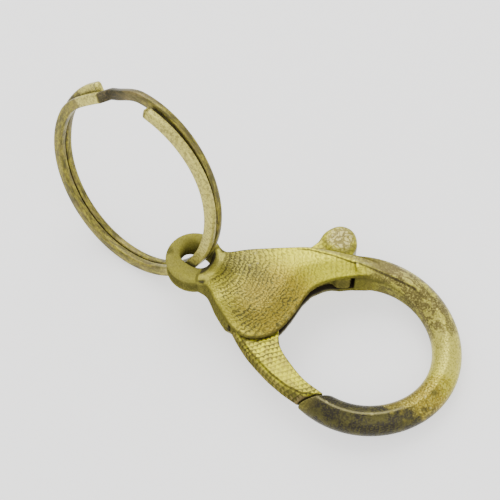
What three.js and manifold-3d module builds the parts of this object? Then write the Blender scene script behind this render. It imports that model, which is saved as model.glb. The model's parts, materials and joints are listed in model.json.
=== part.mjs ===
// Lobster-claw keyring clasp with a thumb-knob gate and a two-turn split ring. Millimetres, +Z up.
// The clasp is drawn flat, centred on its tail eye with +X towards the hook, and then tipped
// so that it rests on the far end of its hook and on the split ring that carries its eye.
import * as THREE from 'three';
import { mergeVertices } from 'three/addons/utils/BufferGeometryUtils.js';
import Module from 'manifold-3d';

// Tail eye: a thick ring with a hollow groove round its outside.
const EYE_HOLE_R = 3.55;
const EYE_OUTER_R = 5.5;
const EYE_HALF_HEIGHT = 2.4;
const EYE_EDGE = 0.7;
const EYE_GROOVE_DEPTH = 0.45;

// Hook: a round bar, thick at its root, bent round a circle beyond the body.
const HOOK_CENTRE_X = 36.65;
const HOOK_R = 15.05;
const BAR_R = 2.8;
const ROOT_GROWTH = 1.46;
const ROOT_INNER_LOSS = 0.3;
const ROOT_DEG = 124;
const TAPER_END_DEG = 25;
const TIP_DEG = -114;

// Body: two side plates with a slot between them, solid towards the eye.
const BODY_HALF_HEIGHT = 4.2;
const BODY_EDGE = 1.0;
const SLOT_HALF_HEIGHT = 2.1;
const NECK_SLOPE_START = { x: 4.6, z: 2.45 };
const NECK_SLOPE_END = { x: 9.6, z: 4.2 };
const HOOK_SLOPE_START = { x: 28, z: 4.2 };
const HOOK_SLOPE_END = { x: 37, z: 2.9 };

// Gate lever, its pivot pin and its torsion spring.
const LEVER_HALF_HEIGHT = 1.85;
const LEVER_EDGE = 0.45;
const PIVOT = { x: 16.5, y: -2.0 };
const PIN_R = 1.3;
const PIN_PRESS_CLEARANCE = 0.05;
const PIN_RUNNING_CLEARANCE = 0.08;
const PIN_TOP = 3.0;
const HUB_R = 4.4;
const KNOB = { x: 22.7, y: 17.3, r: 3.1, halfHeight: 2.5, edge: 0.7 };
const SPRING_WIRE_R = 0.28;
const SPRING_COIL_R = 2.1;
const SPRING_TURNS = 2.75;
const SPRING_PITCH = 0.68;
const SPRING_LEG = 5.1;
const POCKET_R = 2.75;
const POCKET_TOP = 0.6;
const WINDOW = { startDeg: 178, endDeg: 240 };

// Slanting seam between the gate's end and the hook's tip.
const SEAM = { x: 33.1, y: -14.75, angleDeg: 44, gap: 0.3 };

// Split ring: flat wire wound twice, with one crossing between the turns.
const RING_R = 19.1;
const RING_WIDTH = 2.1;
const RING_TURN_HEIGHT = 1.6;
const RING_TURN_GAP = 0.12;
const RING_EDGE = 0.3;
const CROSSING_DEG = 34;
const END_GAP_DEG = 1.2;

// How the ring stands in the eye, and how the clasp rests.
const RING_CENTRE = { x: -16.35, y: 5.86, z: 8.3 };
const RING_YAW_DEG = -9.85;
const RING_LEAN_DEG = 17.6;
const RING_SPIN_DEG = 107;
const CLASP_TILT_DEG = 7.18;

const CUTTER_MARGIN = 3;
const DISC_SEGMENTS = 16;
const EYE_SEGMENTS = 40;
const rad = THREE.MathUtils.degToRad;

const wasm = await Module();
wasm.setup();

function toSolid(geometry) {
  const bare = geometry.index ? geometry.clone() : geometry;
  bare.deleteAttribute('normal');
  bare.deleteAttribute('uv');
  const merged = mergeVertices(bare, 1e-4);
  const mesh = new wasm.Mesh({
    numProp: 3,
    vertProperties: new Float32Array(merged.attributes.position.array),
    triVerts: new Uint32Array(merged.index.array),
  });
  return new wasm.Manifold(mesh);
}

function toGeometry(solid) {
  const { vertProperties, triVerts } = solid.getMesh();
  const geometry = new THREE.BufferGeometry();
  geometry.setAttribute('position', new THREE.BufferAttribute(vertProperties, 3));
  geometry.setIndex(new THREE.BufferAttribute(triVerts, 1));
  geometry.computeVertexNormals();
  return geometry;
}

// A closed outline extruded between two heights, with its edges chamfered inside the outline.
function slab(shape, low, high, edge = 0, curveSegments = 4) {
  const geometry = new THREE.ExtrudeGeometry(shape, {
    depth: high - low - 2 * edge,
    curveSegments,
    bevelEnabled: edge > 0,
    bevelThickness: edge,
    bevelSize: edge,
    bevelOffset: -edge,
    bevelSegments: 1,
  });
  return toSolid(geometry.translate(0, 0, low + edge));
}

function disc(x, y, radius, low, high, edge = 0) {
  const circle = new THREE.Shape().absarc(x, y, radius, 0, 2 * Math.PI);
  return slab(circle, low, high, edge, DISC_SEGMENTS);
}

function splineOutline(points) {
  const [first, ...rest] = points.map(([x, y]) => new THREE.Vector2(x, y));
  return new THREE.Shape().moveTo(first.x, first.y).splineThru(rest);
}

function polygon(points) {
  return new THREE.Shape(points.map(([x, y]) => new THREE.Vector2(x, y)));
}

// A wedge of waste above the sloping line from start to end, seen from the side.
function slopeWaste(start, end, stretch) {
  const slope = (end.z - start.z) / (end.x - start.x);
  const lineZ = (x) => start.z + slope * (x - start.x);
  const left = slope > 0 ? start.x - stretch : start.x;
  const right = slope > 0 ? end.x : end.x + stretch;
  const top = BODY_HALF_HEIGHT + CUTTER_MARGIN;
  const side = polygon([[left, lineZ(left)], [right, lineZ(right)], [right, top], [left, top]]);
  const reach = HOOK_R + CUTTER_MARGIN;
  const geometry = new THREE.ExtrudeGeometry(side, { depth: 2 * reach, bevelEnabled: false });
  return toSolid(geometry.rotateX(Math.PI / 2).translate(0, reach, 0));
}

function mirroredDown(solid) {
  return solid.mirror([0, 0, 1]);
}

function eyeRing() {
  const grooveR = EYE_OUTER_R - EYE_GROOVE_DEPTH;
  const lip = EYE_HALF_HEIGHT - EYE_EDGE;
  const profile = [
    [EYE_HOLE_R, -lip],
    [EYE_HOLE_R + EYE_EDGE, -EYE_HALF_HEIGHT],
    [EYE_OUTER_R - EYE_EDGE, -EYE_HALF_HEIGHT],
    [EYE_OUTER_R, -lip],
    [grooveR, -lip / 3],
    [grooveR, lip / 3],
    [EYE_OUTER_R, lip],
    [EYE_OUTER_R - EYE_EDGE, EYE_HALF_HEIGHT],
    [EYE_HOLE_R + EYE_EDGE, EYE_HALF_HEIGHT],
    [EYE_HOLE_R, lip],
    [EYE_HOLE_R, -lip],
  ].map(([r, z]) => new THREE.Vector2(r, z));
  return toSolid(new THREE.LatheGeometry(profile, EYE_SEGMENTS).rotateX(Math.PI / 2));
}

// How far the bar's shape has changed towards its root: 0 past the end of the taper, 1 at the root.
function rootShare(angle) {
  const along = (angle - rad(TAPER_END_DEG)) / rad(ROOT_DEG - TAPER_END_DEG);
  return THREE.MathUtils.clamp(along, 0, 1) ** 2;
}

function hookBar() {
  const points = [];
  const spans = 34;
  for (let i = 0; i <= spans; i += 1) {
    const angle = rad(ROOT_DEG + (TIP_DEG - ROOT_DEG) * i / spans);
    points.push(new THREE.Vector3(HOOK_R * Math.cos(angle), HOOK_R * Math.sin(angle), 0));
  }
  const section = new THREE.Shape().absarc(0, 0, BAR_R, 0, 2 * Math.PI);
  const bar = new THREE.ExtrudeGeometry(section, {
    extrudePath: new THREE.CatmullRomCurve3(points),
    steps: spans,
    curveSegments: 9,
    bevelEnabled: false,
  });
  const position = bar.attributes.position;
  for (let i = 0; i < position.count; i += 1) {
    const x = position.getX(i);
    const y = position.getY(i);
    const angle = Math.atan2(y, x);
    const growth = 1 + (ROOT_GROWTH - 1) * rootShare(angle);
    const flattening = 1 - ROOT_INNER_LOSS * rootShare(angle);
    const across = Math.hypot(x, y) - HOOK_R;
    const radius = HOOK_R + across * (across > 0 ? growth : flattening);
    position.setXYZ(i, radius * Math.cos(angle), radius * Math.sin(angle), position.getZ(i) * growth);
  }
  return toSolid(bar.translate(HOOK_CENTRE_X, 0, 0));
}

// Everything on the gate's side of the seam, moved off it by half the gap.
function seamWaste(side) {
  const size = 12;
  const box = new THREE.BoxGeometry(size, size, size);
  box.translate(0, side * (size - SEAM.gap) / 2, 0);
  return toSolid(box.rotateZ(rad(SEAM.angleDeg)).translate(SEAM.x, SEAM.y, 0));
}

function bodyOutline() {
  return splineOutline([
    [3.0, -4.2], [5.4, -4.6], [8.3, -6.6], [11.4, -8.6], [14.0, -9.9], [16.6, -10.3],
    [18.8, -9.5], [20.6, -7.9], [21.8, -5.7], [22.4, -3.0], [22.7, 0.0], [22.8, 2.8],
    [23.4, 5.3], [24.8, 7.3], [26.6, 9.1], [28.8, 10.7], [31.2, 12.1], [32.8, 13.7],
    [31.5, 15.6], [27.5, 15.2], [23.5, 14.0], [18.9, 12.2], [14.0, 9.3],
    [9.2, 6.3], [5.4, 4.2], [3.0, 4.0], [2.2, 0.0], [3.0, -4.2],
  ]);
}

// The slot is open on the gate side, along the inside of the hook and under the knob.
function slotOutline() {
  const slot = new THREE.Shape();
  slot.moveTo(12.7, -14);
  slot.lineTo(12.7, -8.2);
  slot.quadraticCurveTo(10.4, -4.5, 10.4, -1.5);
  slot.quadraticCurveTo(10.2, 2.5, 8.6, 5.0);
  slot.lineTo(6.5, 12);
  slot.lineTo(20, 26);
  slot.lineTo(22.6, 24);
  slot.lineTo(30.2, 8.4);
  slot.lineTo(26, 0);
  slot.lineTo(26, -14);
  return slot;
}

function castBody() {
  const plates = slab(bodyOutline(), -BODY_HALF_HEIGHT, BODY_HALF_HEIGHT, BODY_EDGE, 3);
  const neckWaste = slopeWaste(NECK_SLOPE_START, NECK_SLOPE_END, CUTTER_MARGIN);
  const hookWaste = slopeWaste(HOOK_SLOPE_START, HOOK_SLOPE_END, CUTTER_MARGIN);
  const cut = SLOT_HALF_HEIGHT;
  const pinHole = disc(PIVOT.x, PIVOT.y, PIN_R + PIN_PRESS_CLEARANCE, -BODY_HALF_HEIGHT - 1, PIN_TOP + 0.1);
  return plates
    .subtract(neckWaste)
    .subtract(mirroredDown(neckWaste))
    .subtract(hookWaste)
    .subtract(mirroredDown(hookWaste))
    .add(hookBar())
    .subtract(slab(slotOutline(), -cut, cut))
    .subtract(seamWaste(1))
    .add(eyeRing())
    .subtract(disc(0, 0, EYE_HOLE_R, -BODY_HALF_HEIGHT - 1, BODY_HALF_HEIGHT + 1))
    .subtract(pinHole);
}

function gateArmOutline() {
  return splineOutline([
    [13.4, -5.0], [13.6, -8.8], [18.2, -12.2], [23.0, -14.4], [27.6, -15.7], [32.4, -16.4],
    [35.6, -15.0], [35.4, -13.2], [30.5, -12.2], [26.6, -10.5], [23.2, -8.3], [20.6, -4.5],
    [17.0, -3.0], [13.4, -5.0],
  ]);
}

function knobArmOutline() {
  return splineOutline([
    [13.6, 0.5], [15.6, 6.5], [18.2, 12.6], [19.0, 14.6], [19.7, 17.4], [22.7, 18.4],
    [25.7, 17.6], [26.2, 15.6], [27.3, 12.8], [28.2, 10.6], [26.3, 9.3], [24.6, 9.4],
    [22.7, 7.2], [21.2, 3.0], [20.4, -1.5], [16.5, -2.0], [13.6, 0.5],
  ]);
}

// Room for the spring: a round pocket under the hub and a window for the leg that meets the body.
function springPocket() {
  const low = -LEVER_HALF_HEIGHT - 1;
  const pocket = disc(PIVOT.x, PIVOT.y, POCKET_R, low, POCKET_TOP);
  const reach = HUB_R + CUTTER_MARGIN;
  const window = new THREE.Shape();
  window.absarc(PIVOT.x, PIVOT.y, reach, rad(WINDOW.startDeg), rad(WINDOW.endDeg));
  window.lineTo(PIVOT.x, PIVOT.y);
  return pocket.add(slab(window, low, POCKET_TOP, 0, 6));
}

function gateLever() {
  const low = -LEVER_HALF_HEIGHT;
  const high = LEVER_HALF_HEIGHT;
  return disc(PIVOT.x, PIVOT.y, HUB_R, low, high)
    .add(slab(gateArmOutline(), low, high, LEVER_EDGE, 3))
    .add(slab(knobArmOutline(), low, high, 0, 3))
    .add(disc(KNOB.x, KNOB.y, KNOB.r, -KNOB.halfHeight, KNOB.halfHeight, KNOB.edge))
    .subtract(seamWaste(-1))
    .subtract(disc(PIVOT.x, PIVOT.y, PIN_R + PIN_RUNNING_CLEARANCE, low - 1, high + 1))
    .subtract(springPocket());
}

function pivotPin() {
  return disc(PIVOT.x, PIVOT.y, PIN_R, -BODY_HALF_HEIGHT, PIN_TOP, 0.2);
}

class TorsionSpringCurve extends THREE.Curve {
  getPoint(t) {
    const coilLength = 2 * Math.PI * SPRING_COIL_R * SPRING_TURNS;
    const along = t * (coilLength + SPRING_LEG);
    const bottom = -SPRING_PITCH * SPRING_TURNS;
    const turned = Math.min(along / coilLength, 1);
    const angle = -Math.PI / 2 + 2 * Math.PI * SPRING_TURNS * (1 - turned);
    const leg = Math.max(along - coilLength, 0);
    return new THREE.Vector3(
      SPRING_COIL_R * Math.cos(angle) - leg,
      SPRING_COIL_R * Math.sin(angle),
      bottom + SPRING_PITCH * SPRING_TURNS * turned,
    );
  }
}

function gateSpring() {
  const wire = new THREE.Shape().absarc(0, 0, SPRING_WIRE_R, 0, 2 * Math.PI);
  const coil = new THREE.ExtrudeGeometry(wire, {
    extrudePath: new TorsionSpringCurve(),
    steps: 60,
    curveSegments: 4,
    bevelEnabled: false,
  });
  return toSolid(coil.translate(PIVOT.x, PIVOT.y, POCKET_TOP - 0.45));
}

// A flat stretch of ring wire between two angles, its section chamfered all round.
function ringStretch(startDeg, endDeg, low) {
  const inner = RING_R - RING_WIDTH / 2;
  const outer = RING_R + RING_WIDTH / 2;
  const stretch = new THREE.Shape();
  stretch.absarc(0, 0, outer, rad(startDeg), rad(endDeg), false);
  stretch.absarc(0, 0, inner, rad(endDeg), rad(startDeg), true);
  const geometry = new THREE.ExtrudeGeometry(stretch, {
    depth: RING_TURN_HEIGHT - 2 * RING_EDGE,
    curveSegments: Math.ceil((endDeg - startDeg) / 6),
    bevelThickness: RING_EDGE,
    bevelSize: RING_EDGE,
    bevelOffset: -RING_EDGE,
    bevelSegments: 1,
  });
  return geometry.translate(0, 0, low + RING_EDGE);
}

// The crossing climbs from the lower turn's height to the upper turn's.
function ringCrossing(startDeg, endDeg, low, rise) {
  const lap = 4;
  const geometry = ringStretch(startDeg - lap, endDeg + lap, low);
  const position = geometry.attributes.position;
  for (let i = 0; i < position.count; i += 1) {
    const angle = Math.atan2(position.getY(i), position.getX(i));
    const lift = rise * THREE.MathUtils.smoothstep(angle, rad(startDeg), rad(endDeg));
    position.setZ(i, position.getZ(i) + lift);
  }
  return geometry;
}

function splitRing() {
  const rise = RING_TURN_HEIGHT + RING_TURN_GAP;
  const low = -RING_TURN_HEIGHT - RING_TURN_GAP / 2;
  const half = CROSSING_DEG / 2;
  const lowerTurn = ringStretch(half + END_GAP_DEG, 360 - half, low);
  const upperTurn = ringStretch(half, 360 - half - END_GAP_DEG, low + rise);
  const crossing = ringCrossing(-half, half, low, rise);
  return toSolid(lowerTurn).add(toSolid(crossing)).add(toSolid(upperTurn));
}

function subPart(name, solid, material) {
  const mesh = new THREE.Mesh(toGeometry(solid), material);
  mesh.name = name;
  return mesh;
}

function printedMetal(color, roughness) {
  return new THREE.MeshStandardMaterial({ color, roughness, metalness: 0.3 });
}

function steel(color) {
  return new THREE.MeshStandardMaterial({ color, roughness: 0.35, metalness: 1.0 });
}

function clasp() {
  const group = new THREE.Group();
  group.add(subPart('cast_body', castBody(), printedMetal(0xb3aa5e, 0.38)));
  group.add(subPart('gate_lever', gateLever(), printedMetal(0xbdb266, 0.38)));
  group.add(subPart('pivot_pin', pivotPin(), steel(0xa9a9a6)));
  group.add(subPart('gate_spring', gateSpring(), steel(0x8f9091)));
  return group;
}

function ring() {
  const mesh = subPart('split_ring', splitRing(), printedMetal(0xaaa384, 0.42));
  mesh.rotation.z = rad(RING_SPIN_DEG);
  const stand = new THREE.Group();
  stand.add(mesh);
  stand.rotation.set(rad(90 - RING_LEAN_DEG), 0, rad(RING_YAW_DEG), 'ZXY');
  stand.position.set(RING_CENTRE.x, RING_CENTRE.y, RING_CENTRE.z);
  return stand;
}

// Tips the clasp and its ring and sets them down with the middle of their box over the origin.
function restingKeyring() {
  const tipped = new THREE.Group();
  tipped.add(clasp(), ring());
  tipped.rotation.y = rad(CLASP_TILT_DEG);
  const keyring = new THREE.Group();
  keyring.add(tipped);
  keyring.updateMatrixWorld(true);
  const box = new THREE.Box3().setFromObject(keyring, true);
  tipped.position.set(-(box.min.x + box.max.x) / 2, -(box.min.y + box.max.y) / 2, -box.min.z);
  return keyring;
}

export default restingKeyring();
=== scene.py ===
"""Keyring snap clasp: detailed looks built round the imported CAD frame."""
import json
import math

import bpy
import numpy as np
from mathutils import Matrix, Vector


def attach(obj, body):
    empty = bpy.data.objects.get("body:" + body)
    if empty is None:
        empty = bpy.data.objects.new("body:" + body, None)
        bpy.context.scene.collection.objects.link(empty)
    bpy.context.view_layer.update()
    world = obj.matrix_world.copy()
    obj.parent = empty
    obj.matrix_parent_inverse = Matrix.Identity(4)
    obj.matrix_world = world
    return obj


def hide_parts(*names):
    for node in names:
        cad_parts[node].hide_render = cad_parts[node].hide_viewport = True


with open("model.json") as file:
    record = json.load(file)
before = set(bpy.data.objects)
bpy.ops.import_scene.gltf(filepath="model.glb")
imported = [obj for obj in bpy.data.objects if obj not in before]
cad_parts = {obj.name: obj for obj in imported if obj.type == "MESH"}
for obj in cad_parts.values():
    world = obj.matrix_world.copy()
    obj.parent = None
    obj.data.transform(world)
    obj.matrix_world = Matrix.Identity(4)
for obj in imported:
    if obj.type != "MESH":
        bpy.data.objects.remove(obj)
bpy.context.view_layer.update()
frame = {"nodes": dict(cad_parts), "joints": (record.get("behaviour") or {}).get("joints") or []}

MM = 0.001

# ---------------------------------------------------------------- sizes, in millimetres, clasp laid flat
# Origin at the middle of the tail eye, +X to the hook, +Y to the thumb knob, +Z out of the front plate.
PIVOT = (16.5, -2.0, 0.0)
EYE_OUTER_R = 5.5
EYE_HALF_HEIGHT = 2.4
EYE_GROOVE_R = 2.0
EYE_GROOVE_DEPTH = 0.8
HOLE_WAIST = 2.9
HOLE_FLARE = 0.5
HOLE_HALF_Y = 2.3
HOLE_LEAN = 0.31
HOLE_SHIFT = 0.38
PIN_HOLE_R = 1.36
PIN_HOLE_TOP = 3.1
HOOK_X = 36.65
HOOK_R = 14.8
HOOK_NOSE = 0.5
BAR_R = 2.8
ROOT_GROWTH = 0.46
ROOT_INNER_LOSS = 0.3
ROOT_ANGLE = math.radians(124)
TAPER_ANGLE = math.radians(25)
SLOT_HALF = 2.1
LEVER_HALF = 1.85
HUB_R = 4.4
LEVER_BORE_R = 1.38
POCKET_R = 2.75
POCKET_TOP = 0.6
LEG_WINDOW = (209, 31, 8)  # middle and half width in degrees, then how far it reaches from the pin
KNOB = (22.7, 17.3)
KNOB_R = 3.1
RING_CENTRE = (-16.35, 5.86, 8.3)
RING_YAW = math.radians(-9.85)
RING_R = 19.1
RING_WIDTH = 2.1
TURN_HEIGHT = 1.6
TURN_GAP = 0.12
RING_STEPS = 420
WIRE_EDGE_R = 0.45
BOW = 1.1
PRISE = 0.45
END_ROUND = 0.6
END_SPREAD = 0.25
END_SPREAD_LENGTH = 8
NEAR_END = math.radians(89)
FAR_END = math.radians(128)
CROSSING = (math.radians(121.0), math.radians(125.0))

# The sharp crest where the front plate's face turns down its outer side and runs on along the hook.
CREST = [
    (9.0, 6.0), (12.6, 8.0), (15.6, 9.8), (18.9, 11.3), (23.2, 12.3), (27.7, 13.0),
    (31.8, 13.5), (35.5, 13.9), (39.5, 13.9), (43.5, 12.6), (47.0, 9.0),
]

# The line where the gate arm's face turns down its outer side.
GATE_RIDGE = [
    (9.0, -5.8), (13.0, -8.0), (16.1, -10.4), (19.1, -12.1),
    (24.5, -14.1), (28.0, -14.8), (31.0, -14.8), (35.5, -12.9),
]

BODY_OUTLINE = [
    (3.0, -4.2), (5.4, -4.6), (8.3, -6.6), (11.4, -8.6), (14.0, -9.9), (16.6, -10.3),
    (18.8, -9.5), (20.6, -7.9), (21.8, -5.7), (22.4, -3.0), (22.7, 0.0), (22.8, 2.8),
    (23.4, 5.3), (24.8, 7.3), (26.6, 9.1), (28.8, 10.7), (31.2, 12.1), (32.8, 13.7),
    (31.5, 15.6), (27.5, 15.2), (23.5, 14.0), (18.9, 12.2), (14.0, 9.3),
    (9.2, 6.3), (5.4, 4.2), (3.0, 4.0), (2.2, 0.0),
]
THROAT = BODY_OUTLINE[6:17] + [(40.0, 40.0), (-20.0, 40.0), (-20.0, -9.5)]
THROAT_RIM = 2.9
BACK_INSET = 0.8
BAR_WALL_START = 29.5
SLOT_OUTLINE = [
    (12.7, -14.0), (12.7, -8.2), (10.9, -4.8), (10.4, -1.5), (10.0, 1.8), (8.6, 5.0), (6.5, 12.0),
    (20.0, 26.0), (22.6, 24.0), (30.2, 8.4), (26.0, 0.0), (26.0, -14.0),
]
GATE_OUTLINE = [
    (12.95, -5.0), (12.95, -8.6), (13.9, -9.7), (18.2, -12.4), (23.0, -14.4), (27.6, -15.7), (32.4, -16.4),
    (35.6, -15.0), (35.4, -13.2), (30.5, -12.2), (26.6, -10.5), (23.2, -8.3), (20.6, -4.5), (17.0, -3.0),
]
KNOB_ARM_OUTLINE = [
    (13.6, 0.5), (15.6, 6.5), (18.2, 12.6), (19.0, 14.6), (19.7, 17.4), (22.7, 18.4),
    (25.7, 17.6), (26.2, 15.6), (27.3, 12.8), (28.2, 10.6), (26.3, 9.3), (24.6, 9.4),
    (22.7, 7.2), (21.2, 3.0), (20.4, -1.5), (16.5, -2.0),
]
SEAM_POINT = (33.1, -14.75)
SEAM_ANGLE = math.radians(44)
SEAM_GAP = 0.3
TIP_REACH = 9


# ---------------------------------------------------------------- placement, from the frame's joints
def joint(name):
    return next(j for j in frame["joints"] if j["name"] == name)


def frame_matrix(x_axis, z_axis, origin):
    """The frame with the z axis given, and its x axis as near as it can be to the one given."""
    z = Vector(z_axis).normalized()
    x = (Vector(x_axis) - Vector(x_axis).dot(z) * z).normalized()
    rotation = Matrix((x, z.cross(x), z)).transposed().to_4x4()
    return Matrix.Translation(origin) @ rotation


HINGE = joint("gate_hinge")
CLASP = frame_matrix((1, 0, 0), HINGE["axis"], (0, 0, 0))
CLASP = Matrix.Translation(Vector(HINGE["pos_m"]) - CLASP @ (Vector(PIVOT) * MM)) @ CLASP
RING_X = CLASP.to_3x3() @ Vector((math.cos(RING_YAW), math.sin(RING_YAW), 0))
RING = frame_matrix(RING_X, joint("ring_swing")["axis"], CLASP @ (Vector(RING_CENTRE) * MM))


def place(name, mesh, matrix, body, nodes, material, lines=None):
    """Puts a mesh made in a flat frame into the row frame.

    Its flat place in millimetres and its distances from the named lines stay on it, for the materials.
    """
    flat = np.empty(len(mesh.vertices) * 3)
    mesh.vertices.foreach_get("co", flat)
    mesh.attributes.new("flat", "FLOAT_VECTOR", "POINT").data.foreach_set("vector", flat / MM)
    x, y = flat.reshape(-1, 3).T[:2] / MM
    for line, distance in (lines or {}).items():
        mesh.attributes.new(line, "FLOAT", "POINT").data.foreach_set("value", distance(x, y))
    mesh.transform(matrix)
    mesh.materials.append(material)
    mesh.shade_smooth()
    piece = bpy.data.objects.new(name, mesh)
    bpy.context.scene.collection.objects.link(piece)
    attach(piece, body)
    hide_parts(*nodes)
    return piece


# ---------------------------------------------------------------- shaping by distance fields
def closed_spline(points, steps=6):
    """A smooth closed polygon through the points."""
    p = np.array(points, float)
    a, b, c, d = np.roll(p, 1, 0), p, np.roll(p, -1, 0), np.roll(p, -2, 0)
    out = []
    for t in np.arange(steps) / steps:
        out.append(0.5 * (2 * b + (c - a) * t + (2 * a - 5 * b + 4 * c - d) * t ** 2
                          + (3 * b - a - 3 * c + d) * t ** 3))
    return np.stack(out, 1).reshape(-1, 2)


def outline_distance(x, y, polygon):
    """Signed distance from grid points to a polygon, negative inside."""
    best = np.full(x.shape, 1e9)
    inside = np.zeros(x.shape, bool)
    for (ax, ay), (bx, by) in zip(polygon, np.roll(polygon, -1, 0)):
        ex, ey = bx - ax, by - ay
        t = np.clip(((x - ax) * ex + (y - ay) * ey) / (ex * ex + ey * ey), 0, 1)
        best = np.minimum(best, (x - ax - t * ex) ** 2 + (y - ay - t * ey) ** 2)
        if by != ay:
            crosses = (ay > y) != (by > y)
            inside ^= crosses & (x < ax + (y - ay) * ex / ey)
    return np.where(inside, -1, 1) * np.sqrt(best)


def both(a, b, r=0.0):
    """Intersection of two fields with an edge rounded to radius r."""
    if r == 0:
        return np.maximum(a, b)
    return np.minimum(np.maximum(a, b) + r, 0) + np.hypot(np.maximum(a + r, 0), np.maximum(b + r, 0)) - r


def either(a, b, k):
    """Union of two fields with a fillet of size k."""
    h = np.maximum(k - np.abs(a - b), 0) / k
    return np.minimum(a, b) - h * h * k / 4


def surface_net(field, low, step):
    """Vertices and quads of the field's zero surface, one vertex in each cell it passes through."""
    inside = field < 0
    cells = tuple(n - 1 for n in field.shape)
    total = np.zeros(cells + (3,))
    count = np.zeros(cells)
    for axis in range(3):
        others = [i for i in range(3) if i != axis]
        for da in (0, 1):
            for db in (0, 1):
                near = [slice(0, n) for n in cells]
                near[others[0]] = slice(da, cells[others[0]] + da)
                near[others[1]] = slice(db, cells[others[1]] + db)
                far = list(near)
                far[axis] = slice(1, cells[axis] + 1)
                f0, f1 = field[tuple(near)], field[tuple(far)]
                cross = inside[tuple(near)] != inside[tuple(far)]
                t = np.where(cross, f0 / np.where(cross, f0 - f1, 1), 0)
                total[..., axis] += t
                total[..., others[0]] += da * cross
                total[..., others[1]] += db * cross
                count += cross
    active = count > 0
    index = np.full(cells, -1)
    index[active] = np.arange(active.sum())
    corner = np.argwhere(active)
    points = corner + total[active] / count[active][:, None]
    quads = []
    for axis in range(3):
        a, b = [(1, 2), (2, 0), (0, 1)][axis]
        near = [slice(1, -1)] * 3
        far = [slice(1, -1)] * 3
        near[axis] = slice(0, -1)
        far[axis] = slice(1, None)
        first, second = inside[tuple(near)], inside[tuple(far)]
        for flip, where in ((False, first & ~second), (True, ~first & second)):
            at = np.argwhere(where)
            at[:, a] += 1
            at[:, b] += 1
            ring = []
            for da, db in ((-1, -1), (0, -1), (0, 0), (-1, 0)):
                cell = at.copy()
                cell[:, a] += da
                cell[:, b] += db
                ring.append(index[tuple(cell.T)])
            quads.append(np.stack(ring[::-1] if flip else ring, 1))
    return low + points * step, np.concatenate(quads)


def settle(points, field, low, step, rounds=3):
    """Moves net vertices onto the zero surface along the field's slope."""
    for _ in range(rounds):
        g = (points - low) / step
        cell = np.clip(np.floor(g).astype(int), 0, np.array(field.shape) - 2)
        t = g - cell
        value = np.zeros(len(points))
        slope = np.zeros((len(points), 3))
        for corner in np.ndindex(2, 2, 2):
            f = field[tuple((cell + corner).T)]
            w = [np.where(c, t[:, i], 1 - t[:, i]) for i, c in enumerate(corner)]
            value += f * w[0] * w[1] * w[2]
            for i in range(3):
                j, k = [n for n in range(3) if n != i]
                slope[:, i] += (1 if corner[i] else -1) * f * w[j] * w[k] / step
        size = np.maximum((slope ** 2).sum(1), 0.05)
        move = np.clip(value / size, -step / 2, step / 2)
        points = points - 0.8 * slope * move[:, None]
    return points


def mesh_from_field(name, field_at, low, high, step):
    """A mesh of the field's zero surface between the corners low and high."""
    low = np.array(low, float)
    counts = np.ceil((np.array(high) - low) / step).astype(int) + 1
    axes = [low[i] + step * np.arange(counts[i]) for i in range(3)]
    x, y = np.meshgrid(axes[0], axes[1], indexing="ij")
    field = field_at(x, y, axes[2])
    points, quads = surface_net(field, low, step)
    points = settle(points, field, low, step)
    mesh = bpy.data.meshes.new(name)
    mesh.from_pydata((points * MM).tolist(), [], quads.tolist())
    mesh.validate()
    return mesh


def ramp(t):
    """0 below 0, 1 above 1, smooth between."""
    t = np.clip(t, 0, 1)
    return t * t * (3 - 2 * t)


# ---------------------------------------------------------------- the cast body
def root_share(angle):
    """How far the bar's shape has changed towards its root: 0 past the taper, 1 at the root."""
    return np.clip((angle - TAPER_ANGLE) / (ROOT_ANGLE - TAPER_ANGLE), 0, 1) ** 2


def inner_wall(x, y):
    """Distance past the flat wall of the hook's root, positive in the opening."""
    angle = np.arctan2(y, x - HOOK_X)
    flat = ramp((angle - math.radians(65)) / math.radians(40)) * (angle < math.radians(140))
    reach = BAR_R * (1 - ROOT_INNER_LOSS * root_share(angle)) * (1.05 - 0.19 * flat)
    return HOOK_R - reach - np.hypot(x - HOOK_X, y)


def hook_field(x, y, z):
    """Bent bar with a soft crest along its front and back, thickest where it leaves the body."""
    dx = x - HOOK_X
    angle = np.arctan2(y, dx)
    radius = BAR_R * (1 + ROOT_GROWTH * root_share(angle))
    inner_radius = BAR_R * (1 - ROOT_INNER_LOSS * root_share(angle))
    centre = HOOK_R + HOOK_NOSE * np.maximum(np.cos(angle), 0) ** 4
    across = np.hypot(dx, y) - centre
    across = np.where(across > 0, across, -across * radius / inner_radius)[..., None]
    up = np.abs(z)[None, None, :]
    crest = 0.07 * np.exp(-(across / (0.28 * radius[..., None])) ** 2)
    bar = np.hypot(across, up) - radius[..., None] * (0.98 + crest)
    wrapped = np.where(angle < -2.2, angle + 2 * math.pi, angle)
    root_cut = (wrapped - ROOT_ANGLE) * HOOK_R
    return both(bar, root_cut[..., None], 0.3)


def eye_field(x, y, z):
    """The tail eye's disc, with a groove round its outside."""
    r = np.hypot(x, y)[..., None]
    up = np.abs(z)[None, None, :]
    rim = EYE_HALF_HEIGHT - 0.3 * np.abs(r - EYE_OUTER_R + 0.8)
    disc = both(r - EYE_OUTER_R, up - rim, 0.4)
    groove_middle = EYE_OUTER_R + EYE_GROOVE_R - EYE_GROOVE_DEPTH
    groove = EYE_GROOVE_R - np.hypot(r - groove_middle, up * 1.2)
    return both(disc, groove, 0.3)


def eye_hole(x, y, z):
    """Distance inside the eye's hole: it leans with height and is narrowest halfway through."""
    flare = np.minimum((z / EYE_HALF_HEIGHT) ** 2, 1)
    lean = np.abs(y[..., None] - HOLE_LEAN * z - HOLE_SHIFT) / HOLE_HALF_Y
    wide = np.abs(x[..., None]) / (HOLE_WAIST + HOLE_FLARE * flare)
    return HOLE_HALF_Y * (1 - (wide ** 3 + lean ** 3) ** (1 / 3))


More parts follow.
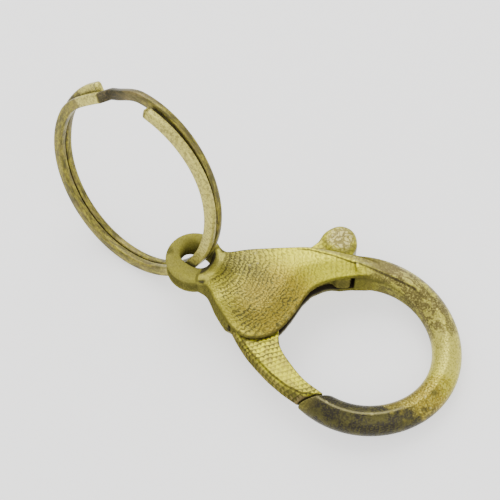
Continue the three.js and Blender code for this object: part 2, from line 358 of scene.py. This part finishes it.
def throat_distance(x, y):
    """Distance outside the edge of the plates that faces the hook's opening."""
    return outline_distance(x, y, np.array(THROAT))


def plate_half_height(x, outline, throat):
    """The plates' height over the middle plane: a dome, cut lower at the neck, towards the hook and
    at the rim by the opening."""
    dome = 3.75 + 0.5 * ramp(-outline / 6.5)
    neck = 2.35 + 0.42 * (x - 4.9)
    shoulder = 4.25 - 0.145 * (x - 28.0)
    rolled = THROAT_RIM + 1.35 * ramp(-throat / 6.0 + 0.05)
    return either(either(either(dome, neck, 0.9), shoulder, 0.5), rolled, 0.4)


def seam_distance(x, y):
    """Distance across the slanting seam, positive on the gate's side."""
    return (y - SEAM_POINT[1]) * math.cos(SEAM_ANGLE) - (x - SEAM_POINT[0]) * math.sin(SEAM_ANGLE)


def body_edge(x, y):
    """Distance outside the plates' outline."""
    return outline_distance(x, y, closed_spline(BODY_OUTLINE))


def crest_distance(x, y):
    """Distance outside the crest line, negative on the plate's face."""
    return outline_distance(x, y, np.array(CREST + [(47.0, -30.0), (0.0, -30.0), (0.0, 3.0)]))


def plates_field(x, y, z):
    """Front and back plates as one block, the back one set in at its edge towards the opening."""
    outline = body_edge(x, y)
    throat = throat_distance(x, y)
    top = plate_half_height(x, outline, throat)
    plates = both(outline[..., None], np.abs(z) - top[..., None], 0.35)
    inset = BACK_INSET * (1 - ramp((x - 24.5) / 3))
    back_edge = np.where(z < 0, (throat + inset)[..., None], -9)
    return np.maximum(plates, back_edge)


def outer_side(x, y):
    """Height of the outer side, which slopes down from the crest line."""
    height = np.interp(x, [20, 28, 34, 40, 44], [4.15, 4.1, 3.7, 3.6, 4.6])
    slope = np.interp(x, [20, 30, 41], [0.75, 0.55, 0.0])
    return height - slope * np.maximum(crest_distance(x, y), 0)


def body_field(x, y, z):
    """The whole casting: plates, hook and eye, less the slot, the tip past the seam and both holes."""
    height = z[None, None, :]
    up = np.abs(height)
    body = either(plates_field(x, y, height), hook_field(x, y, z), 0.6)
    body = both(body, up - outer_side(x, y)[..., None], 0.12)
    wall = np.where(x > BAR_WALL_START, inner_wall(x, y), -9)
    body = both(body, wall[..., None], 0.25)
    slot_plan = outline_distance(x, y, np.array(SLOT_OUTLINE))
    slot = np.maximum(slot_plan[..., None], up - SLOT_HALF)
    body = both(body, -slot, 0.18)
    near_tip = np.hypot(x - SEAM_POINT[0], y - SEAM_POINT[1]) < TIP_REACH
    seam = np.where(near_tip, seam_distance(x, y) + SEAM_GAP / 2, -9)
    body = both(body, seam[..., None], 0.3)
    body = either(body, eye_field(x, y, z), 0.6)
    body = both(body, eye_hole(x, y, height), 0.4)
    pin_hole = np.hypot(x - PIVOT[0], y - PIVOT[1])[..., None] - PIN_HOLE_R
    pin_hole = np.maximum(pin_hole, height - PIN_HOLE_TOP)
    return both(body, -pin_hole, 0.12)


# ---------------------------------------------------------------- the gate lever
def ridge_distance(x, y):
    """Distance outside the line where the gate arm's face turns down its outer side."""
    return outline_distance(x, y, np.array(GATE_RIDGE + [(40.0, 8.0), (9.0, 8.0)]))


def spring_pocket(x, y, z):
    """The room for the spring's coil round the pin, and the window that its leg goes through."""
    from_pivot = np.hypot(x - PIVOT[0], y - PIVOT[1])
    angle = np.degrees(np.arctan2(y - PIVOT[1], x - PIVOT[0])) % 360
    middle, half, reach = LEG_WINDOW
    window = np.where(np.abs(angle - middle) < half, from_pivot - reach, 1.0)
    pocket = np.minimum(from_pivot - POCKET_R, window)[..., None]
    return np.maximum(pocket, z[None, None, :] - POCKET_TOP)


def knob_field(x, y, up):
    """The thumb knob, a round pad with a slightly domed top."""
    knob_r = np.hypot(x - KNOB[0], y - KNOB[1])
    pad_top = 2.5 - 0.02 * knob_r ** 2
    return both((knob_r - KNOB_R)[..., None], up - pad_top[..., None], 0.85)


def lever_field(x, y, z):
    """The whole lever: hub, arm, gate and knob, less the tip past the seam, the bore and the pocket."""
    up = np.abs(z)[None, None, :]
    from_pivot = np.hypot(x - PIVOT[0], y - PIVOT[1])
    arm = outline_distance(x, y, closed_spline(KNOB_ARM_OUTLINE))
    inner = either(from_pivot - HUB_R, arm, 0.8)
    shelf = both(inner[..., None], up - LEVER_HALF, 0.25)
    gate = outline_distance(x, y, closed_spline(GATE_OUTLINE))
    bevel = LEVER_HALF + 0.05 - 0.85 * np.maximum(ridge_distance(x, y), 0)
    bar = both(gate[..., None], up - bevel[..., None], 0.18)
    lever = either(either(shelf, bar, 0.5), knob_field(x, y, up), 1.3)
    seam = SEAM_GAP / 2 - seam_distance(x, y)
    lever = both(lever, seam[..., None], 0.25)
    lever = np.maximum(lever, (LEVER_BORE_R - from_pivot)[..., None])
    return np.maximum(lever, -spring_pocket(x, y, z))


# ---------------------------------------------------------------- swept pieces
def sweep(name, path, frames, section):
    """A closed skin: the section carried along the path, with a flat face at each end."""
    rings = []
    for point, side, up in frames(path):
        rings.append([point + a * side + b * up for a, b in section])
    verts = [v for ring in rings for v in ring]
    n = len(section)
    faces = []
    for i in range(len(rings) - 1):
        for j in range(n):
            k = (j + 1) % n
            faces.append((i * n + j, i * n + k, (i + 1) * n + k, (i + 1) * n + j))
    faces.append(tuple(reversed(range(n))))
    faces.append(tuple((len(rings) - 1) * n + j for j in range(n)))
    mesh = bpy.data.meshes.new(name)
    mesh.from_pydata([tuple(Vector(v) * MM) for v in verts], [], faces)
    mesh.validate()
    return mesh


def rounded_rectangle(width, height, r, steps=4):
    points = []
    for cx, cy, start in ((1, 1, 0), (-1, 1, 90), (-1, -1, 180), (1, -1, 270)):
        for i in range(steps + 1):
            a = math.radians(start + 90 * i / steps)
            x = cx * (width / 2 - r) + r * math.cos(a)
            y = cy * (height / 2 - r) + r * math.sin(a)
            points.append((x, y))
    return points


def ring_path():
    """Two turns with one crossing: each point's angle, height, outward shift and section's share."""
    last = FAR_END - 4 * math.pi
    ends = END_ROUND * np.array([0, 0.1, 0.3, 0.6, 1.0]) / RING_R
    between = np.linspace(NEAR_END, last, RING_STEPS)[1:-1]
    angles = np.concatenate([NEAR_END - ends, between, last + ends[::-1]])
    second = angles + 2 * math.pi
    rise = (TURN_HEIGHT + TURN_GAP) / 2
    crossing = np.clip((CROSSING[1] - second) / (CROSSING[1] - CROSSING[0]), 0, 1)
    prised = ramp(1 - (NEAR_END - angles) / 1.1)
    bowed = ramp((second - 1.69) / 0.35) * ramp((2.83 - second) / 0.52)
    bulge = ramp((last + 1.0 - angles) / 0.5) - 0.8 * ramp((last + 0.3 - angles) / 0.3)
    bowed = bowed - 0.4 * bulge
    heights = rise * (1 - 2 * crossing) + PRISE * prised
    shifts = -PRISE * prised - BOW * bowed
    from_end = np.minimum(NEAR_END - angles, angles - last) * RING_R
    share = np.sqrt(1 - 0.75 * np.clip(1 - from_end / END_ROUND, 0, 1) ** 2)
    spread = 1 + END_SPREAD * ramp(1 - (angles - last) * RING_R / END_SPREAD_LENGTH)
    return list(zip(angles, heights, shifts, zip(share * spread, share)))


def ring_frames(path):
    """Each point of the wire, with the directions across and up, scaled to the section's share."""
    for angle, height, shift, (wide, tall) in path:
        out = Vector((math.cos(angle), math.sin(angle), 0))
        up = Vector((0, 0, 1))
        yield (RING_R + shift) * out + height * up, wide * out, tall * up


def ring_mesh():
    section = rounded_rectangle(RING_WIDTH, TURN_HEIGHT, WIRE_EDGE_R)
    return sweep("split_ring_looks", ring_path(), ring_frames, section)


# ---------------------------------------------------------------- materials
class Wire:
    """A number or colour inside a material, so that shader sums can be written as sums."""

    def __init__(self, tree, socket):
        self.tree = tree
        self.socket = socket

    def math(self, operation, *values):
        node = self.tree.nodes.new("ShaderNodeMath")
        node.operation = operation
        for socket, value in zip(node.inputs, (self, *values)):
            feed(self.tree, socket, value)
        return Wire(self.tree, node.outputs[0])

    def __add__(self, other):
        return self.math("ADD", other)

    def __sub__(self, other):
        return self.math("SUBTRACT", other)

    def __mul__(self, other):
        return self.math("MULTIPLY", other)

    def __truediv__(self, other):
        return self.math("DIVIDE", other)

    def fract(self):
        return self.math("FRACT")

    def floor(self):
        return self.math("FLOOR")

    def size(self):
        return self.math("ABSOLUTE")

    def invert(self):
        return (self * -1) + 1

    def step(self, low, high):
        """0 below low, 1 above high, smooth between."""
        node = self.tree.nodes.new("ShaderNodeMapRange")
        node.interpolation_type = "SMOOTHSTEP"
        feed(self.tree, node.inputs["Value"], self)
        node.inputs["From Min"].default_value = low
        node.inputs["From Max"].default_value = high
        return Wire(self.tree, node.outputs["Result"])


def feed(tree, socket, value):
    if isinstance(value, Wire):
        tree.links.new(value.socket, socket)
    elif isinstance(value, tuple) and len(value) == 3 and socket.type == "RGBA":
        socket.default_value = (*value, 1)
    else:
        socket.default_value = value


class Finish:
    """One material's node tree, with the flat place of each point on hand."""

    def __init__(self, name, attribute="flat"):
        self.material = bpy.data.materials.new(name)
        self.material.use_nodes = True
        self.tree = self.material.node_tree
        self.shader = self.tree.nodes["Principled BSDF"]
        if attribute:
            place_node = self.node("ShaderNodeAttribute", attribute_name=attribute)
            self.place = Wire(self.tree, place_node.outputs["Vector"])
        else:
            place_node = self.node("ShaderNodeTexCoord")
            self.place = Wire(self.tree, place_node.outputs["Object"])
        self.x, self.y, self.z = self.split(self.place)

    def node(self, kind, **settings):
        node = self.tree.nodes.new(kind)
        for name, value in settings.items():
            setattr(node, name, value)
        return node

    def split(self, vector):
        node = self.node("ShaderNodeSeparateXYZ")
        feed(self.tree, node.inputs[0], vector)
        return [Wire(self.tree, out) for out in node.outputs]

    def join(self, x, y, z=0.0):
        node = self.node("ShaderNodeCombineXYZ")
        for socket, value in zip(node.inputs, (x, y, z)):
            feed(self.tree, socket, value)
        return Wire(self.tree, node.outputs[0])

    def line(self, name):
        """Distance from a line that place() stored on the mesh."""
        node = self.node("ShaderNodeAttribute", attribute_name=name)
        return Wire(self.tree, node.outputs["Fac"])

    def noise(self, size, detail=2.0, rough=0.5, vector=None):
        """Soft noise around 0.5, its blobs about the size given."""
        node = self.node("ShaderNodeTexNoise")
        feed(self.tree, node.inputs["Vector"], vector or self.place)
        node.inputs["Scale"].default_value = 1 / size
        node.inputs["Detail"].default_value = detail
        node.inputs["Roughness"].default_value = rough
        return Wire(self.tree, node.outputs["Fac"])

    def cells(self, size, vector):
        """Distance from the walls of a net of cells about the size given."""
        node = self.node("ShaderNodeTexVoronoi", feature="DISTANCE_TO_EDGE")
        feed(self.tree, node.inputs["Vector"], vector)
        node.inputs["Scale"].default_value = 1 / size
        return Wire(self.tree, node.outputs["Distance"])

    def chance(self, x, y):
        """A random number for each whole pair of numbers."""
        node = self.node("ShaderNodeTexWhiteNoise", noise_dimensions="2D")
        feed(self.tree, node.inputs["Vector"], self.join(x, y))
        return Wire(self.tree, node.outputs["Value"])

    def mix(self, share, low, high):
        node = self.node("ShaderNodeMix", data_type="RGBA")
        feed(self.tree, node.inputs["Factor"], share)
        feed(self.tree, node.inputs[6], low)
        feed(self.tree, node.inputs[7], high)
        return Wire(self.tree, node.outputs[2])

    def spot(self, x, y, radius, soft=0.5, stretch=1.0):
        """1 inside a round patch of the plan, 0 outside."""
        away = ((self.x - x).math("POWER", 2.0) + ((self.y - y) * stretch).math("POWER", 2.0)).math("SQRT")
        return away.step(radius * (1 - soft), radius * (1 + soft)).invert()

    def edges(self):
        """1 along convex edges, and 1 in concave corners."""
        bend = Wire(self.tree, self.node("ShaderNodeNewGeometry").outputs["Pointiness"])
        return bend.step(0.52, 0.60), bend.step(0.40, 0.48).invert()

    def occlusion_shade(self, distance):
        """Painted shade: 1 deep inside slots and holes, where shade falls, 0 in the open."""
        node = self.node("ShaderNodeAmbientOcclusion", samples=6)
        node.inputs["Distance"].default_value = distance
        return Wire(self.tree, node.outputs["AO"]).step(0.3, 0.85).invert()

    def bump(self, height, distance):
        node = self.node("ShaderNodeBump")
        node.inputs["Distance"].default_value = distance
        feed(self.tree, node.inputs["Height"], height)
        self.tree.links.new(node.outputs["Normal"], self.shader.inputs["Normal"])

    def finish(self, color, rough, metallic=0.0, coat=0.0, gloss=0.5):
        feed(self.tree, self.shader.inputs["Base Color"], color)
        feed(self.tree, self.shader.inputs["Roughness"], rough)
        feed(self.tree, self.shader.inputs["Metallic"], metallic)
        feed(self.tree, self.shader.inputs["Specular IOR Level"], gloss)
        self.shader.inputs["Coat Weight"].default_value = coat
        self.shader.inputs["Coat Roughness"].default_value = 0.12
        return self.material


LIME = (0.52, 0.49, 0.015)
STRAW = (0.27, 0.235, 0.03)
GOLD = (0.25, 0.18, 0.014)
FAIR = (0.52, 0.47, 0.11)
OLIVE = (0.075, 0.068, 0.018)
BARK = (0.022, 0.016, 0.008)
TAN = (0.15, 0.115, 0.045)
PALE = (0.36, 0.32, 0.13)
SLATE = (0.024, 0.021, 0.016)

BUMP = 0.00006
# Reach in metres of the occlusion that paints shade into slots and holes.
SHADE_REACH = 0.0025

# Round patches of the print, seen from above: middle x and y, radius, softness and stretch along y.
EYE_PATCH = (0.0, 0.0, 6.0, 0.15)
EYE_INSIDE = (0.0, 0.0, 4.6, 0.08)
EYE_STAIN = (-4.8, -1.2, 0.8)
DARK_ROWS = (9.5, 1.9, 5.4, 0.5, 2.6)
MID_ROWS = (11.5, 0.5, 8.5, 0.5)
CLUSTER = (15.9, -7.5, 2.2, 0.4)
GOLD_PATCH = (19.0, -1.5, 8.0, 0.45)
FINE_PATCH = (22.0, 0.0, 9.0, 0.35)
LIME_PATCH = (22.0, 9.5, 9.5, 0.4, 1.3)
HOOK_STAIN = (52.0, -3.5, 0.6, 0.6)
NETTED_PATCH = (20.6, -10.0, 4.2, 0.45, 1.2)
ARM_BLOCK = (27.0, 10.0, 2.2, 0.2)
KNOB_TOP = (*KNOB, 2.6, 0.35)
KNOB_ROUND = (*KNOB, 4.5, 0.1)
KNOB_AROUND = (*KNOB, 6.5, 0.3)


def scales(f, across, along, length, width):
    """Rows of overlapping scales: the dark rim of each one, and a random shade for each one."""
    row = (across / length).floor()
    within = (across / length).fract()
    shifted = along / width + row * 0.5
    side = shifted.fract() - 0.5
    rim = (within - side * side * 2.2).step(0.05, 0.5).invert()
    return rim, f.chance(row, shifted.floor())


def wavy(f, value, amount, size):
    """The value, pushed to and fro by soft noise."""
    return value + (f.noise(size) - 0.5) * amount


def plate_scales(f):
    """Scales in arcs round the eye end of the plate."""
    dx = f.x - 2.2
    dy = f.y - 0.4
    away = (dx * dx + dy * dy).math("SQRT")
    angle = dy.math("ARCTAN2", dx)
    across = wavy(f, wavy(f, away, 2.2, 3.0), 0.9, 0.9)
    along = wavy(f, wavy(f, angle * (away * 0.55 + 5) + f.z * 0.8, 1.6, 2.0), 0.8, 0.8)
    broad, broad_shade = scales(f, across, along, 0.92, 0.8)
    fine, fine_shade = scales(f, across, along, 0.66, 0.6)
    small = f.spot(*FINE_PATCH)
    rim = broad * small.invert() + fine * small
    return rim, broad_shade * small.invert() + fine_shade * small


def hook_place(f):
    """Angle round the hook's middle, and distance from it."""
    dx = f.x - HOOK_X
    return f.y.math("ARCTAN2", dx), (dx * dx + f.y * f.y).math("SQRT")


def hook_scales(f, angle, away):
    """Fine scales along and round the hook's bar."""
    round_bar = f.z.math("ARCTAN2", away - HOOK_R)
    across = wavy(f, angle * HOOK_R, 1.4, 2.5)
    along = wavy(f, round_bar * BAR_R, 0.9, 2.0)
    return scales(f, across, along, 0.62, 0.62)


class BodyPlaces:
    """Shares from 0 to 1 that tell the cast body's parts and patches apart."""

    def __init__(self, f):
        self.mottle = f.noise(2.2, 3.0, 0.65)
        self.drift = f.noise(6.0, 1.0)
        self.angle, self.away = hook_place(f)
        self.turn = self.angle + (self.mottle - 0.5) * 0.7
        self.on_hook = (f.x + (self.mottle - 0.5) * 4).step(29.0, 35.0)
        self.on_plate = self.on_hook.invert()
        self.on_eye = f.spot(*EYE_PATCH)
        self.edge = f.line("edge")
        self.dark_rows = f.spot(*DARK_ROWS)
        hook_lime = self.turn.step(-0.3, 0.1) * self.turn.step(0.4, 0.8).invert() * self.on_hook
        self.lime = f.spot(*LIME_PATCH) + hook_lime * 0.6
        slanted_turn = self.turn - (self.away - HOOK_R) * 0.1
        self.hook_end = slanted_turn.step(-0.82, -0.58).invert() * self.on_hook
        self.crown = self.turn.step(0.3, 0.85) * self.on_hook
        height = f.z.size()
        self.groove = self.on_eye * height.step(1.2, 1.9).invert() * f.spot(*EYE_INSIDE).invert()
        self.side_wall = self.edge.step(-0.5, -0.15) * height.step(3.3, 3.8).invert() * self.on_plate
        self.inside = height.step(2.12, 2.3).invert() * self.edge.step(-0.4, -0.1).invert()
        self.on_wall = f.line("wall").step(-0.5, -0.15) * f.x.step(28.0, 29.0)


def body_base(f, p):
    """The ground colours under the print."""
    base = f.mix(p.drift.step(0.35, 0.65), STRAW, f.mix(0.4, STRAW, LIME))
    base = f.mix(p.lime * 0.9, base, LIME)
    gold = f.spot(*GOLD_PATCH) + p.turn.step(-0.3, 0.15).invert() * p.on_hook
    base = f.mix(gold * 0.85, base, GOLD)
    side = f.z.size().step(1.6, 2.9).invert() * p.on_plate
    mid_rows = f.spot(*MID_ROWS) * p.lime.invert()
    base = f.mix(p.dark_rows * 0.35 + side * 0.6 + mid_rows * 0.3, base, OLIVE)
    low_gold = p.turn.step(-0.75, -0.35).invert() * p.on_hook
    base = f.mix(low_gold * 0.4, base, OLIVE)
    base = f.mix(p.on_eye * 0.5, base, f.mix(p.mottle, LIME, PALE))
    base = f.mix(p.groove * 0.9 + f.spot(*EYE_STAIN) * 0.8, base, OLIVE)
    return f.mix(p.hook_end, base, f.mix(p.mottle.step(0.45, 0.65) * 0.8, SLATE, OLIVE))


def body_scales(f, p):
    """The scales' rims and shades, where the plates' scales pass into the hook's."""
    plate_rim, plate_shade = plate_scales(f)
    hook_rim, hook_shade = hook_scales(f, p.angle, p.away)
    rim = plate_rim * p.on_plate + hook_rim * p.on_hook
    return rim, plate_shade * p.on_plate + hook_shade * p.on_hook


def ink_body(f, p, base, rim, shade):
    """Draws the scales' rims over the ground colours, fainter on the eye and on a bare strip."""
    bare_strip = p.edge.step(-1.9, -1.2) * f.y.step(-0.5, 0.5).invert()
    bare_strip = bare_strip * f.x.step(13.0, 17.0).invert() * f.z.step(1.5, 2.5)
    strength = p.dark_rows * 0.25 + f.spot(*CLUSTER) * 0.4 - p.lime * 0.45 + 0.92 - p.on_hook * 0.45
    strength = strength * (shade * 0.8 + 0.45) * (p.drift.step(0.3, 0.7) * 0.3 + 0.85)
    strength = strength * (p.on_eye * -0.85 + 1) * (bare_strip * -0.7 + 1)
    return f.mix((rim * strength).math("MINIMUM", 0.95), base, f.mix(shade, BARK, OLIVE))


def wear_hook(f, p, color, veins, grain):
    """Fair patches and brown veins on the hook, then light and dark grain all over."""
    fair = p.turn.step(-0.1, 0.2) * p.turn.step(0.5, 0.9).invert() * p.on_hook
    color = f.mix(fair * 0.5, color, FAIR)
    color = f.mix(p.crown * 0.3, color, FAIR)
    color = f.mix(veins * p.crown * 0.85, color, f.mix(p.mottle, BARK, TAN))
    light = grain.step(0.5, 0.66) * (p.on_hook * 0.25 + 0.2) * p.hook_end.invert()
    color = f.mix(light, color, FAIR)
    dark = grain.step(0.36, 0.5).invert() * (p.on_hook * 0.2 + 0.25)
    return f.mix(dark, color, OLIVE)


def mark_crest(f, p, color, veins):
    """The crease along the crest, the band outside it, the stain, and a painted highlight along the top of
    the hook's bar.
    """
    crest = f.line("crest")
    front = f.z.step(1.5, 2.5) * f.x.step(15.0, 19.0)
    crease = crest.size().step(0.08, 0.3).invert() * front * p.turn.step(1.0, 1.5)
    color = f.mix(crease * 0.8, color, BARK)
    band = crest.step(0.3, 0.6) * front * p.turn.step(1.2, 1.6) * 0.45
    color = f.mix(band, color, f.mix(veins, PALE, TAN))
    color = f.mix(f.spot(*HOOK_STAIN) * f.z.step(0.5, 1.5) * 0.75, color, OLIVE)
    # Painted highlight: a pale line along the crest of the bar's dark end.
    bar_highlight = (p.away - HOOK_R + 0.2).size().step(0.05, 0.35).invert() * f.z.step(1.5, 2.2)
    return f.mix(bar_highlight * p.hook_end * 0.3, color, PALE)


def darken_walls(f, p, color):
    """The slot's inside, the back plate's rim, the wall of the hook's root and the front plate's lip."""
    back_rim = f.z.step(-2.4, -1.9).invert() * f.line("throat").step(-2.0, -1.2)
    back_rim = back_rim * p.on_plate * f.x.step(17.0, 19.0)
    color = f.mix(p.inside * 0.9 + back_rim * 0.85, color, SLATE)
    wall_top = p.on_wall * (f.z - 1.9).size().step(0.2, 0.6).invert()
    color = f.mix(p.on_wall * f.z.step(-2.2, -1.6) * 0.5 + wall_top * 0.3, color, OLIVE)
    lip = p.edge.size().step(0.1, 0.35).invert() * f.z.step(3.0, 3.4).invert()
    return f.mix(lip * p.on_plate * f.z.step(1.8, 2.2) * 0.6, color, BARK)


def paint_edge_highlight_and_shade(f, color, light, share):
    """Paints the convex edges light, a painted highlight, and the concave corners dark, painted shade."""
    ridges, corners = f.edges()
    color = f.mix(ridges * share, color, light)
    return f.mix(corners * 0.8, color, BARK)


def plated(f, color, rough, dull):
    """Bright plating, worn to rough dull metal where dull is 1."""
    bright = dull.invert()
    return f.finish(color, rough + dull * 0.45, bright * 0.5 + 0.08, gloss=bright * 0.12)


def printed_body():
    f = Finish("printed_body")
    p = BodyPlaces(f)
    rim, shade = body_scales(f, p)
    grain = f.noise(0.32, 2.0)
    veins = f.noise(1.7, 3.0, 0.65, f.join(p.angle * HOOK_R * 0.5, p.away, f.z * 0.8)).step(0.46, 0.51)
    color = ink_body(f, p, body_base(f, p), rim, shade)
    color = wear_hook(f, p, color, veins, grain)
    color = mark_crest(f, p, color, veins)
    color = darken_walls(f, p, color)
    # Painted highlight in PALE along convex edges, and painted shade in concave corners.
    color = paint_edge_highlight_and_shade(f, color, PALE, 0.35)
    # Painted shade: BARK mixed in where the occlusion finds the slot, the eye's hole and other recesses.
    color = f.mix(f.occlusion_shade(SHADE_REACH) * 0.85, color, BARK)
    color = f.mix(p.side_wall * 0.45, color, OLIVE)
    f.bump(rim * -0.5 + grain * 0.5, BUMP)
    dull = (p.side_wall + p.groove + p.inside + p.on_wall * 0.6).math("MINIMUM", 1.0)
    return plated(f, color, p.mottle * 0.2 + 0.22 + rim * 0.1, dull)


def lever_scales(f):
    """Scales in straight rows across the gate's arm."""
    across = wavy(f, f.x * 0.75 - f.y * 0.66, 1.0, 2.5)
    along = wavy(f, f.x * 0.66 + f.y * 0.75 + f.z * 0.7, 0.8, 2.0)
    return scales(f, across, along, 0.85, 0.85)


def print_knob(f, color, mottle):
    """The knob's net of brown curls, and its darker side."""
    on_knob = f.spot(*KNOB_TOP)
    curled = f.join(wavy(f, f.x, 2.0, 1.5), wavy(f, f.y, 2.0, 1.2), f.z)
    curls = f.cells(0.9, curled).step(0.04, 0.22).invert()
    net = f.mix(curls * 0.85 + 0.1, PALE, f.mix(mottle, BARK, TAN))
    color = f.mix(on_knob * 0.85, color, net)
    return f.mix(f.spot(*KNOB_ROUND) * on_knob.invert() * 0.3, color, OLIVE)


def printed_lever():
    f = Finish("printed_lever")
    mottle = f.noise(2.0, 3.0, 0.65)
    rim, shade = lever_scales(f)
    tip = (f.x + (mottle - 0.5) * 5 - f.y * 0.4).step(33.0, 38.0)
    side = f.z.step(1.4, 1.75).invert() * f.spot(*KNOB_AROUND).invert()
    block = f.spot(*ARM_BLOCK)
    base = f.mix(mottle.step(0.35, 0.65), STRAW, LIME)
    base = f.mix(side * 0.8 + tip * 0.2, base, f.mix(mottle.step(0.45, 0.55), OLIVE, TAN))
    strength = f.spot(*NETTED_PATCH) * 0.45 + side * 0.3 + tip * 0.4 + 0.45
    strength = rim * strength * (shade * 0.6 + 0.6)
    color = f.mix(strength.math("MINIMUM", 0.95), base, f.mix(shade, BARK, OLIVE))
    ridge_line = f.line("ridge").size().step(0.1, 0.3).invert() * f.z.step(1.0, 1.5)
    color = f.mix(ridge_line * 0.7, color, BARK)
    color = print_knob(f, color, mottle)
    color = f.mix(block * 0.75, color, OLIVE)
    # Painted shade: BARK mixed in where the occlusion finds the pocket, bore and tight corners.
    color = f.mix(f.occlusion_shade(SHADE_REACH) * 0.8, color, BARK)
    # Painted highlight in STRAW along convex edges, and painted shade in concave corners.
    color = paint_edge_highlight_and_shade(f, color, STRAW, 0.3)
    f.bump(rim * -0.5 + f.noise(0.5, 3.0) * 0.5, BUMP)
    dull = (side + block).math("MINIMUM", 1.0)
    return plated(f, color, mottle * 0.25 + 0.22, dull)


def printed_ring():
    f = Finish("printed_ring")
    angle = f.y.math("ARCTAN2", f.x)
    along = angle * RING_R
    away = (f.x * f.x + f.y * f.y).math("SQRT")
    streaks = f.noise(1.0, 4.0, 0.7, f.join(along * 0.35, away * 1.6, f.z * 1.6))
    mottle = f.noise(3.0, 3.0, 0.65)
    speckle = f.noise(0.55, 3.0, 0.75).step(0.48, 0.56)
    turn = angle + (mottle - 0.5) * 0.35
    near = f.z.step(-0.1, 0.1)
    dark_cross = turn.step(1.5, 1.75) * angle.step(2.18, 2.20).invert()
    block = (angle - 2.35).size().step(0.15, 0.2).invert()
    pale = near * (turn + 0.6).step(-0.5, 0.0) * (angle - 1.57).step(-0.1, 0.1).invert()
    tan_part = mottle.step(0.5, 0.62)
    base = f.mix(streaks.step(0.38, 0.62), OLIVE, STRAW)
    base = f.mix(tan_part * 0.4, base, TAN)
    base = f.mix(pale * 0.8 + block * 0.9, base, FAIR)
    dusk = f.mix(angle.step(1.75, 2.05), f.mix(streaks.step(0.4, 0.6), OLIVE, TAN), SLATE)
    base = f.mix(dark_cross * 0.9, base, dusk)
    color = f.mix(speckle * 0.55, base, f.mix(mottle, BARK, TAN))
    # Painted shade: BARK mixed in where the occlusion finds the narrow gaps between the turns.
    color = f.mix(f.occlusion_shade(0.0012) * 0.8, color, BARK)
    f.bump(streaks, 0.00005)
    return f.finish(color, streaks * 0.3 + 0.25, metallic=0.55, coat=0.08, gloss=0.15)


def bare_steel(name, node, tint):
    """Drawn steel with fine scratches, dulled in blotches."""
    f = Finish(name, attribute=None)
    scratches = f.noise(0.00035, 4.0, 0.7, f.join(f.x, f.y, f.z * 0.15))
    blotch = f.noise(0.0011, 3.0)
    color = f.mix(blotch.step(0.35, 0.7), tint, tuple(c * 0.55 for c in tint))
    f.bump(scratches, 0.00003)
    material = f.finish(color, scratches * 0.3 + 0.2, metallic=1.0)
    data = frame["nodes"][node].data
    data.materials.clear()
    data.materials.append(material)


# ---------------------------------------------------------------- studio
FLOOR_HALF = 1.5
WORLD_STRENGTH = 1.5
LIGHT_SIZE = 0.6
LIGHTS = {"key": ((-0.25, 0.35, 0.55), 5.5), "fill": ((0.45, -0.35, 0.5), 2.7)}
CAMERA_LENS = 86.4
CAMERA_SPOT = (65.5, -95.1, 201.0)
CAMERA_TARGET = (7.23, 8.98, -2.6)


def floor_paper():
    f = Finish("floor_paper", attribute=None)
    grain = f.noise(0.004, 4.0, 0.6)
    color = f.mix(grain, (0.47, 0.468, 0.465), (0.45, 0.447, 0.444))
    f.shader.inputs["Emission Color"].default_value = (1, 0.99, 0.98, 1)
    f.shader.inputs["Emission Strength"].default_value = 1.1
    f.bump(grain, 0.00004)
    return f.finish(color, grain * 0.1 + 0.8)


def lay_floor():
    h = FLOOR_HALF
    mesh = bpy.data.meshes.new("floor")
    mesh.from_pydata([(-h, -h, 0), (h, -h, 0), (h, h, 0), (-h, h, 0)], [], [(0, 1, 2, 3)])
    mesh.materials.append(floor_paper())
    floor = bpy.data.objects.new("floor", mesh)
    bpy.context.scene.collection.objects.link(floor)


def light_studio():
    """White surroundings and two large soft lamps, each aimed at the middle of the floor."""
    world = bpy.data.worlds.new("studio")
    world.use_nodes = True
    background = world.node_tree.nodes["Background"]
    background.inputs["Color"].default_value = (1, 1, 1, 1)
    background.inputs["Strength"].default_value = WORLD_STRENGTH
    bpy.context.scene.world = world
    for name, (spot, power) in LIGHTS.items():
        data = bpy.data.lights.new(name, "AREA")
        data.size = LIGHT_SIZE
        data.energy = power
        light = bpy.data.objects.new(name, data)
        light.location = spot
        light.rotation_euler = (-Vector(spot)).to_track_quat("-Z", "Y").to_euler()
        bpy.context.scene.collection.objects.link(light)


def set_camera():
    """Looks steeply down from the gate's side, with no roll against the clasp's own plane."""
    data = bpy.data.cameras.new("camera")
    data.lens = CAMERA_LENS
    eye = bpy.data.objects.new("camera", data)
    bpy.context.scene.collection.objects.link(eye)
    spot = CLASP @ (Vector(CAMERA_SPOT) * MM)
    target = CLASP @ (Vector(CAMERA_TARGET) * MM)
    back = (spot - target).normalized()
    right = (CLASP.to_3x3() @ Vector((0, 0, 1))).cross(back).normalized()
    matrix = Matrix((right, back.cross(right), back)).transposed().to_4x4()
    eye.matrix_world = Matrix.Translation(spot) @ matrix
    bpy.context.scene.camera = eye


# ---------------------------------------------------------------- the pieces
STEP = 0.22
BODY_BOX = ((-6.6, -19.2, -5.0), (56.0, 19.6, 5.0))
LEVER_BOX = ((10.4, -17.6, -3.4), (37.0, 21.6, 3.4))

body_mesh = mesh_from_field("cast_body_looks", body_field, *BODY_BOX, STEP)
place("cast_body_looks", body_mesh, CLASP, "clasp", ["cast_body"], printed_body(),
      {"edge": body_edge, "crest": crest_distance, "throat": throat_distance, "wall": inner_wall})
lever_mesh = mesh_from_field("gate_lever_looks", lever_field, *LEVER_BOX, STEP)
place("gate_lever_looks", lever_mesh, CLASP, "gate", ["gate_lever"], printed_lever(),
      {"ridge": ridge_distance})
place("split_ring_looks", ring_mesh(), RING, "ring", ["split_ring"], printed_ring())
bare_steel("pin_steel", "pivot_pin", (0.56, 0.55, 0.52))
bare_steel("spring_steel", "gate_spring", (0.42, 0.42, 0.43))
lay_floor()
light_studio()
set_camera()
